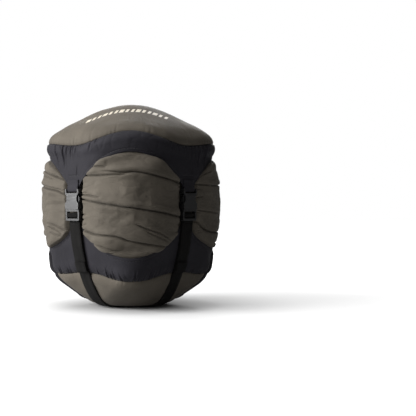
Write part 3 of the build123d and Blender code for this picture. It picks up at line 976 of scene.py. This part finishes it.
def lid_print():
    """A row of plain slanted bars printed on the front of the lid; every third one is wider."""
    verts, faces = [], []
    _, column, quads = grid_quads(BAR_ROWS, BAR_COLUMNS)
    for n, middle in enumerate(np.linspace(PRINT_FROM, PRINT_TO, PRINT_BARS)):
        width, height = PRINT_BAR[0] * (1.0 if n % 3 else PRINT_WIDE), PRINT_BAR[1]
        faces += (quads[column < BAR_COLUMNS - 1] + len(verts)).tolist()
        for up in np.linspace(-0.5, 0.5, BAR_ROWS):
            for across in np.linspace(-0.5, 0.5, BAR_COLUMNS):
                x, y = middle + across * width + up * PRINT_SLANT, PRINT_Y + up * height
                place, normal = lid_panel_skin.below(x, y)
                verts.append(place + normal * PRINT_THICK)
    link(smooth_mesh("lid_print", verts, faces), print_ink, "lid")


lid_print()


# --- webbing ---
def dense_line(points, step=1.5, rounding=3):
    """The path again in short steps, its corners rounded by repeated corner cutting."""
    line = np.array(points, float)
    for _ in range(rounding):
        cut = [line[0]]
        for a, b in zip(line, line[1:]):
            cut += [a * 0.75 + b * 0.25, a * 0.25 + b * 0.75]
        cut.append(line[-1])
        line = np.array(cut)
    reach = reach_along(line)
    count = max(int(reach[-1] / step), 2)
    return at_reach(np.linspace(0, reach[-1], count + 1), reach, line)


# Webbing's selvedge: how far it is rounded, and how high its side is.
SELVEDGE, SELVEDGE_SIDE = 0.25, 0.35


def ribbon_mesh(name, line, width, thickness, turn, waver=0.0, seed=0.0):
    """Webbing along a line of (radius, height), in the upright plane at that turn round the sack."""
    half, edge = width / 2, thickness / 2
    shape = [(-half + SELVEDGE, edge), (-half * 0.6, edge * 1.04), (0, edge * 1.06)]
    shape += [(-x, y) for x, y in shape[1::-1]]
    section = shape + [(half, edge * SELVEDGE_SIDE), (half, -edge * SELVEDGE_SIDE)]
    section += [(-x, -y) for x, y in section]
    out, side = np.array([cos(turn), sin(turn), 0]), np.array([-sin(turn), cos(turn), 0])
    rows = []
    for k, (point, normal) in enumerate(zip(line, away_from_sack(line))):
        shift = waver * noise.noise(Vector((k * 0.03, seed, 0)))
        row = []
        for x, y in section:
            r, z = point + normal * y
            row.append(out * r + side * (x + shift) + np.array([0, 0, z]))
        rows.append(row)
    mesh = grid_mesh(name, np.array(rows), uv_size=(2 * (width + thickness), 1.5 * len(line)))
    solid = bmesh.new()
    solid.from_mesh(mesh)
    solid.verts.ensure_lookup_table()
    for loop in (range(len(section))[::-1], range(len(solid.verts) - len(section), len(solid.verts))):
        solid.faces.new([solid.verts[k] for k in loop])
    bmesh.ops.recalc_face_normals(solid, faces=solid.faces)
    solid.to_mesh(mesh)
    solid.free()
    shade_smooth(mesh)
    return mesh


STRAP_SIDE = [
    (96.0, 112.4), (95.6, 103), (92.9, 84), (90.1, 72), (85.6, 57),
    (80, 42.6), (73.9, 29.5), (66.3, 17.3), (57.6, 8.1), (46.5, 2.5),
]
LOWER_END = [(31, WEB_THICK / 2), (0, WEB_THICK / 2)]
UPPER_END = [(31, WEB_THICK / 2), (19, WEB_THICK / 2), (13.5, 1.6 * WEB_THICK), (0, 1.6 * WEB_THICK)]


def strap_piece(name, node, end, turn):
    half = dense_line(STRAP_SIDE + end)
    line = np.vstack([half, (half * (-1, 1))[-2::-1]])
    mesh = ribbon_mesh(name, line, WEB_WIDTH, WEB_THICK, turn, 0.5, turn)
    piece = link(mesh, webbing, None, node)
    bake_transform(piece)
    return piece


strap_piece("strap_lower", "webbing_strap_lower", LOWER_END, radians(135))
strap_piece("strap_upper", "webbing_strap_upper", UPPER_END, radians(45))

# The webbing's turn round the adjuster's bars, its free tail, and the tail's folded end, with their wavering.
R = BUCKLE_RADIUS
WRAP = [(R - 3.1, 112.8), (R - 3.1, 118.9), (R - 2.2, 119.8), (R + 1.1, 119.8), (R + 2.0, 118.9)]
WRAP += [(R + 2.0, 116.3), (R + 1.1, 115.4), (R - 0.6, 115.4), (R - 1.5, 114.5), (R - 1.7, 108)]
TAIL = [(R - 1.7, 108), (97.2, 102.9), (94.55, 83.8), (91.7, 71.7), (87.15, 56.4), (83.8, 47.8)]
FOLD = [(89.6, 59.8), (88.5, 55.9), (85.1, 47.2)]
WEBS = {
    "wrap": (dense_line(WRAP, 0.8, 2), 0.0),
    "tail": (dense_line(TAIL), 1.6),
    "fold": (dense_line(FOLD, 1.0, 2), 1.6),
}

for corner, degrees in STRAPS.items():
    turn = radians(degrees)
    for part, (line, waver) in WEBS.items():
        mesh = ribbon_mesh(f"web_{part}_{corner}", line, WEB_WIDTH, WEB_THICK, turn, waver, degrees)
        if part == "wrap":
            link(mesh, webbing, "sack_top", "webbing_tail_" + corner)
            continue
        piece = link(mesh, webbing, "sack_top")
        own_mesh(piece)


# --- the bound seams at the sides of the base ---
BINDING_WIDTH, BINDING_HEIGHT, BINDING_ROOT, BINDING_STEP = 2.4, 5.2, 1.2, 1.2
BINDING_END, BINDING_SINKS = 3.6, ((0, 9), (4, 16))


def side_binding(name, column, turn):
    """Tape sewn over the seam that joins the base's front and back halves; it stands up along the seam."""
    seam = np.vstack([base_panel[:, column], base_band[1:, column]])[::-1]
    line = np.stack([from_axis(seam), seam[:, 2]], -1)
    line = dense_line(line[(line[:, 1] > BINDING_END) | (line[:, 0] > 40)], BINDING_STEP, 1)
    from_top, above_floor = BINDING_SINKS
    stands = smooth(np.arange(len(line)) * BINDING_STEP, *from_top) * smooth(line[:, 1], *above_floor)
    middle = BINDING_HEIGHT / 2 - BINDING_ROOT - BINDING_HEIGHT * (1 - stands)
    line = line + away_from_sack(line) * middle[:, None]
    link(ribbon_mesh(name, line, BINDING_WIDTH, BINDING_HEIGHT, turn), binding, "base")


side_binding("side_binding_right", 0, 0.0)
side_binding("side_binding_left", COLUMNS // 2, pi)


# --- buckles: the CAD shapes, with softened edges and moulded plastic ---
WELD, BEVEL_STEPS, BEVEL_ANGLE = 0.00001, 2, 32


def soften(node, width):
    """Moulded plastic with softened edges for a CAD node."""
    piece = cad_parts[node]
    piece.modifiers.new("weld", "WELD").merge_threshold = WELD
    bevel = piece.modifiers.new("edges", "BEVEL")
    bevel.width = width * MM
    bevel.segments = BEVEL_STEPS
    bevel.limit_method = "ANGLE"
    bevel.angle_limit = radians(BEVEL_ANGLE)
    bevel.harden_normals = False
    piece.data.materials.clear()
    piece.data.materials.append(black)


for corner in STRAPS:
    soften("buckle_adjuster_" + corner, 0.35)
    soften("buckle_socket_" + corner, 0.45)
    soften("prong_left_" + corner, 0.25)
    soften("prong_right_" + corner, 0.25)
soften("cord_lock_barrel", 0.4)
soften("cord_lock_plunger", 0.3)


# --- the lid's loops round the buckles ---
LOOP_THICK = 1.2
LOOP = [(R - 2.15, 165), (R - 2.15, 147.4), (R - 1.2, 146.4), (R + 1.2, 146.4), (R + 2.15, 147.4)]
LOOP += [(R + 2.15, 151.2), (R + 1.5, 153.6), (R + 1.0, 155.4), (R + 1.0, 161)]
loop_line = dense_line(LOOP[::-1], 0.8, 2)
for corner, degrees in STRAPS.items():
    mesh = ribbon_mesh("leg_loop_" + corner, loop_line, WEB_WIDTH, LOOP_THICK, radians(degrees))
    link(mesh, navy, "lid", "lid_loop_" + corner)


# --- the drawstring mouth, its cord, and the sleeping bag inside ---
# The mouth's hem: its middle and half its size, as (radius, height), and the most it rises or sinks.
HEM_CENTRE, HEM_HALF, HEM_LIMIT = (18.5, 243.2), (5.85, 4.8), 5
HEM_COLUMNS, HEM_ROWS = 480, 41
# Its pleats, how unevenly they are spaced, the finer creases' number and size, and how much all of them show:
# everywhere, outside more, in height, and along the upper lip.
HEM_PLEATS, HEM_UNEVEN, HEM_FINE, HEM_FINE_SIZE = 14, 1.2, 37, 0.25
HEM_SWELL, HEM_SWELL_OUT, HEM_SWELL_UP, HEM_LIP = 0.07, 0.06, 0.05, 0.4
# The drawcord: its ring's radius, its height, how far out it ends, half its strands' spacing, its radius.
CORD_RING, CORD_HEIGHT, CORD_END, CORD_SPREAD, CORD_RADIUS = 18.0, 244.4, 41.0, 1.6, 1.5
KNOT_SIZE, KNOT_HEIGHT, KNOT_CORD = 0.72, 1.25, 1.2
LOCK_Y = -31.0
SPRING_ENDS, SPRING_TURNS, SPRING_RADIUS, SPRING_WIRE, SPRING_KEEP = (-7.9, -4.8), 2.82, 3.2, 0.2, 0.35


def squarish(wave):
    """Turns a sine wave round a ring into that of a rounded square."""
    return np.sign(wave) * np.abs(wave) ** 0.8


def gathered_hem():
    """The cloth tube round the mouth, bunched into pleats by the cord inside it."""
    phi = np.broadcast_to(round_angles(HEM_COLUMNS), (HEM_ROWS, HEM_COLUMNS))
    around = np.broadcast_to(np.linspace(0, -2 * pi, HEM_ROWS)[:, None], phi.shape)
    main = np.sin(HEM_PLEATS * phi + HEM_UNEVEN * np.sin(3 * phi + 0.4))
    pleat = np.abs(main) ** 0.8 - 0.55 + HEM_FINE_SIZE * np.sin(HEM_FINE * phi + 2 * np.sin(5 * phi))
    swell = 1 + (HEM_SWELL + HEM_SWELL_OUT * (0.5 + 0.5 * np.cos(around))) * pleat
    r = HEM_CENTRE[0] + HEM_HALF[0] * squarish(np.cos(around)) * swell
    z = HEM_HALF[1] * squarish(np.sin(around)) * (1 + HEM_SWELL_UP * pleat)
    z = np.clip(z + HEM_LIP * main * np.maximum(np.sin(around), 0), -HEM_LIMIT, HEM_LIMIT)
    points = np.stack([r * np.cos(phi), r * np.sin(phi), HEM_CENTRE[1] + z], -1)
    return grid_mesh("mouth_hem", points, uv_size=(116, 36))


UPRIGHT = 0.9


def tube_mesh(name, line, radius, sides=14, ribs=0.0):
    """A round cord along a line of points, closed at both ends, with the lay of its strands as ribs."""
    line = np.array(line, float)
    reach = reach_along(line)
    turn = round_angles(sides)[:, None]
    ways = directions(line)
    up = np.eye(3)[2 if abs(ways[0][2]) < UPRIGHT else 0]
    rings = []
    for place, forward, far in zip(line, ways, reach):
        side = np.cross(forward, up)
        side /= np.linalg.norm(side)
        up = np.cross(side, forward)
        grow = radius * (1 + ribs * np.cos(4 * turn - far * 2.2) * np.cos(4 * turn + far * 2.2))
        rings.append(place + grow * (np.cos(turn) * side + np.sin(turn) * up))
    return grid_mesh(name, np.array(rings), True, True, flip=True, uv_size=(9.4, reach[-1]))


def drawcord_line():
    """Both strands from the knot to the hem, and the ring inside it, as one line."""
    strand = [(-CORD_SPREAD, y, CORD_HEIGHT) for y in np.arange(2 - CORD_END, -CORD_RING - 1, 0.7)]
    gap = 1.6 * CORD_SPREAD / CORD_RING
    turns = np.linspace(-gap, gap - 2 * pi, 150)
    ring = [(CORD_RING * sin(a), -CORD_RING * cos(a), CORD_HEIGHT) for a in turns]
    return strand + ring + [(-x, y, z) for x, y, z in reversed(strand)]


def knot_line():
    """An overhand knot, pulled up small."""
    turn = np.linspace(0, 2 * pi, 90)
    x = (np.sin(turn) + 2 * np.sin(2 * turn)) * KNOT_SIZE
    y = (np.cos(turn) - 2 * np.cos(2 * turn)) * KNOT_SIZE
    z = -np.sin(3 * turn) * KNOT_HEIGHT
    return np.stack([x, y - CORD_END, z + CORD_HEIGHT], -1)


def lock_spring():
    """The cord lock's spring, coiled at its rest length. The real one shortens as the plunger is pressed;
    this one does not.
    """
    turn = np.linspace(0, 2 * pi * SPRING_TURNS, 140)
    x = np.linspace(*SPRING_ENDS, len(turn))
    y = SPRING_RADIUS * np.cos(turn) + LOCK_Y
    z = SPRING_RADIUS * np.sin(turn) + CORD_HEIGHT
    mesh = tube_mesh("lock_spring", np.stack([x, y, z], -1), SPRING_WIRE, sides=8)
    piece = link(mesh, steel, "sack_top", "cord_lock_spring")
    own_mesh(piece)


lock_spring()
hem = link(gathered_hem(), olive, "sack_top", "gathered_mouth")
cord = tube_mesh("drawcord_line", drawcord_line(), CORD_RADIUS * 0.96, ribs=0.05)
link(cord, cord_braid, "sack_top", "drawcord")
knot = tube_mesh("drawcord_knot", knot_line(), KNOT_CORD, ribs=0.05)
link(knot, cord_braid, "sack_top")


BAG_COLUMNS, BAG_ROWS, BAG_INSET, BAG_START, BAG_END = 360, 200, 7.7, 3.0, 6
# The shell's sewn channels, how they wander up and down, and the crumpling of the shell: size, scale, stretch
# and seed.
CHANNEL_HEIGHT, CHANNEL_DEPTH, CHANNEL_MIDDLE, CHANNEL_ROUND = 24, 1.8, 1.2, 0.6
CHANNEL_WAVE, CHANNEL_WAVE_LENGTH = 3, 40
CHANNEL_WANDER = (2.2, 60, (1, 1, 1), 9.2)
BAG_CRUMPLE = (0.9, 16, (1, 1, 2), 2.2)


def sleeping_bag():
    """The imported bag: a quilted shell, folded and pressed into the shape of the sack."""
    rows = np.linspace(BAG_START, sack_skin.t[-1] - BAG_END, BAG_ROWS)
    phi, points = sack_skin.grid(BAG_COLUMNS, rows)
    z = points[..., 2]
    wander = CHANNEL_WAVE * np.sin(2 * phi + z / CHANNEL_WAVE_LENGTH) + unevenness(points, *CHANNEL_WANDER)
    channel = np.abs(np.sin((z + wander) * pi / CHANNEL_HEIGHT)) ** CHANNEL_ROUND
    relief = CHANNEL_DEPTH * channel - CHANNEL_MIDDLE + unevenness(points, *BAG_CRUMPLE) - BAG_INSET
    points = points + grid_normals(points) * (relief - side_pull(points))[..., None]
    mesh = grid_mesh("sleeping_bag_quilted", points, low_pole=True, high_pole=True, uv_size=(700, 400))
    piece = link(mesh, quilt, "base", "packed_sleeping_bag")


sleeping_bag()


# --- stage, light and camera ---
# The floor: its half side, and how far out its glow, which is painted light, starts, is faint, and is full.
FLOOR_SIZE, FLOOR_SINK = 6, -0.0002
FLOOR_GLOW = ((0.05, 0.0), (0.12, 0.32), (0.7, 1.0))


def make_floor(size):
    """A pale floor, lit by the lamps near the sack. Further off, a glow seen only by the camera paints it
    lighter, fading out the sack's shadow, and then white, so that it has no visible end.
    """
    mesh = bpy.data.meshes.new("floor")
    corners = [(-size, -size, 0), (size, -size, 0), (size, size, 0), (-size, size, 0)]
    mesh.from_pydata(corners, [], [(0, 1, 2, 3)])
    n = Nodes("floor")
    n.tint(n.noise(3), (1, 1, 1), 0.36, 0.38)
    far = n.add("VectorMath", operation="LENGTH")
    n.wire(n.place, far.inputs[0])
    glow = n.add("ValToRGB")
    stops = glow.color_ramp.elements
    stops.new(0.5)
    for stop, (position, bright) in zip(stops, FLOOR_GLOW):
        stop.position = position
        stop.color = (bright, bright, bright, 1)
    n.wire(far.outputs["Value"], glow.inputs["Fac"])
    # Painted light: the glow reaches the camera only. It lightens the floor and the sack's shadow on it from
    # 0.12 m out, and leaves the shadow at the sack's foot dark.
    seen = n.add("LightPath").outputs["Is Camera Ray"]
    n.wire(n.math("MULTIPLY", glow.outputs[0], seen), n.shader.inputs["Emission Strength"])
    n.set(Roughness=0.9, Emission_Color=(1, 1, 1, 1), Specular_IOR_Level=0.0)
    mesh.materials.append(n.material)
    piece = bpy.data.objects.new("floor", mesh)
    bpy.context.scene.collection.objects.link(piece)
    piece.location.z = FLOOR_SINK


make_floor(FLOOR_SIZE)


def area_light(name, place, target, size, power):
    data = bpy.data.lights.new(name, "AREA")
    data.shape = "DISK"
    data.size = size
    data.energy = power
    light = bpy.data.objects.new(name, data)
    light.location = place
    light.rotation_euler = (Vector(target) - Vector(place)).to_track_quat("-Z", "Y").to_euler()
    bpy.context.scene.collection.objects.link(light)


area_light("key", (-1.5, -0.5, 0.6), (0, 0, 0.12), 1.3, 86)
area_light("fill", (0.5, -1.75, 0.5), (0, 0, 0.12), 1.0, 3)
area_light("top", (-0.35, -0.1, 1.9), (0, 0, 0.1), 1.2, 28)
area_light("back", (0.3, 1.9, 1.1), (0, 0, 0.12), 1.0, 30)

# The backdrop is white to the eye, but lights the sack only faintly.
world = bpy.data.worlds.new("studio")
world.use_nodes = True
backdrop = world.node_tree.nodes["Background"]
backdrop.inputs["Color"].default_value = (1, 1, 1, 1)
seen = world.node_tree.nodes.new("ShaderNodeLightPath")
level = world.node_tree.nodes.new("ShaderNodeMapRange")
level.inputs["To Min"].default_value = 0.1
level.inputs["To Max"].default_value = 1.0
world.node_tree.links.new(seen.outputs["Is Camera Ray"], level.inputs["Value"])
world.node_tree.links.new(level.outputs[0], backdrop.inputs["Strength"])
bpy.context.scene.world = world
bpy.context.scene.view_settings.view_transform = "Standard"

camera_data = bpy.data.cameras.new("camera")
camera_data.lens = 79.7
camera_data.sensor_width = 36
camera_data.shift_x = 0.185
camera_data.shift_y = -0.0072
camera = bpy.data.objects.new("camera", camera_data)
camera.location = (0, -1.2, 0.13)
camera.rotation_euler = (radians(90), 0, 0)
bpy.context.scene.collection.objects.link(camera)
bpy.context.scene.camera = camera
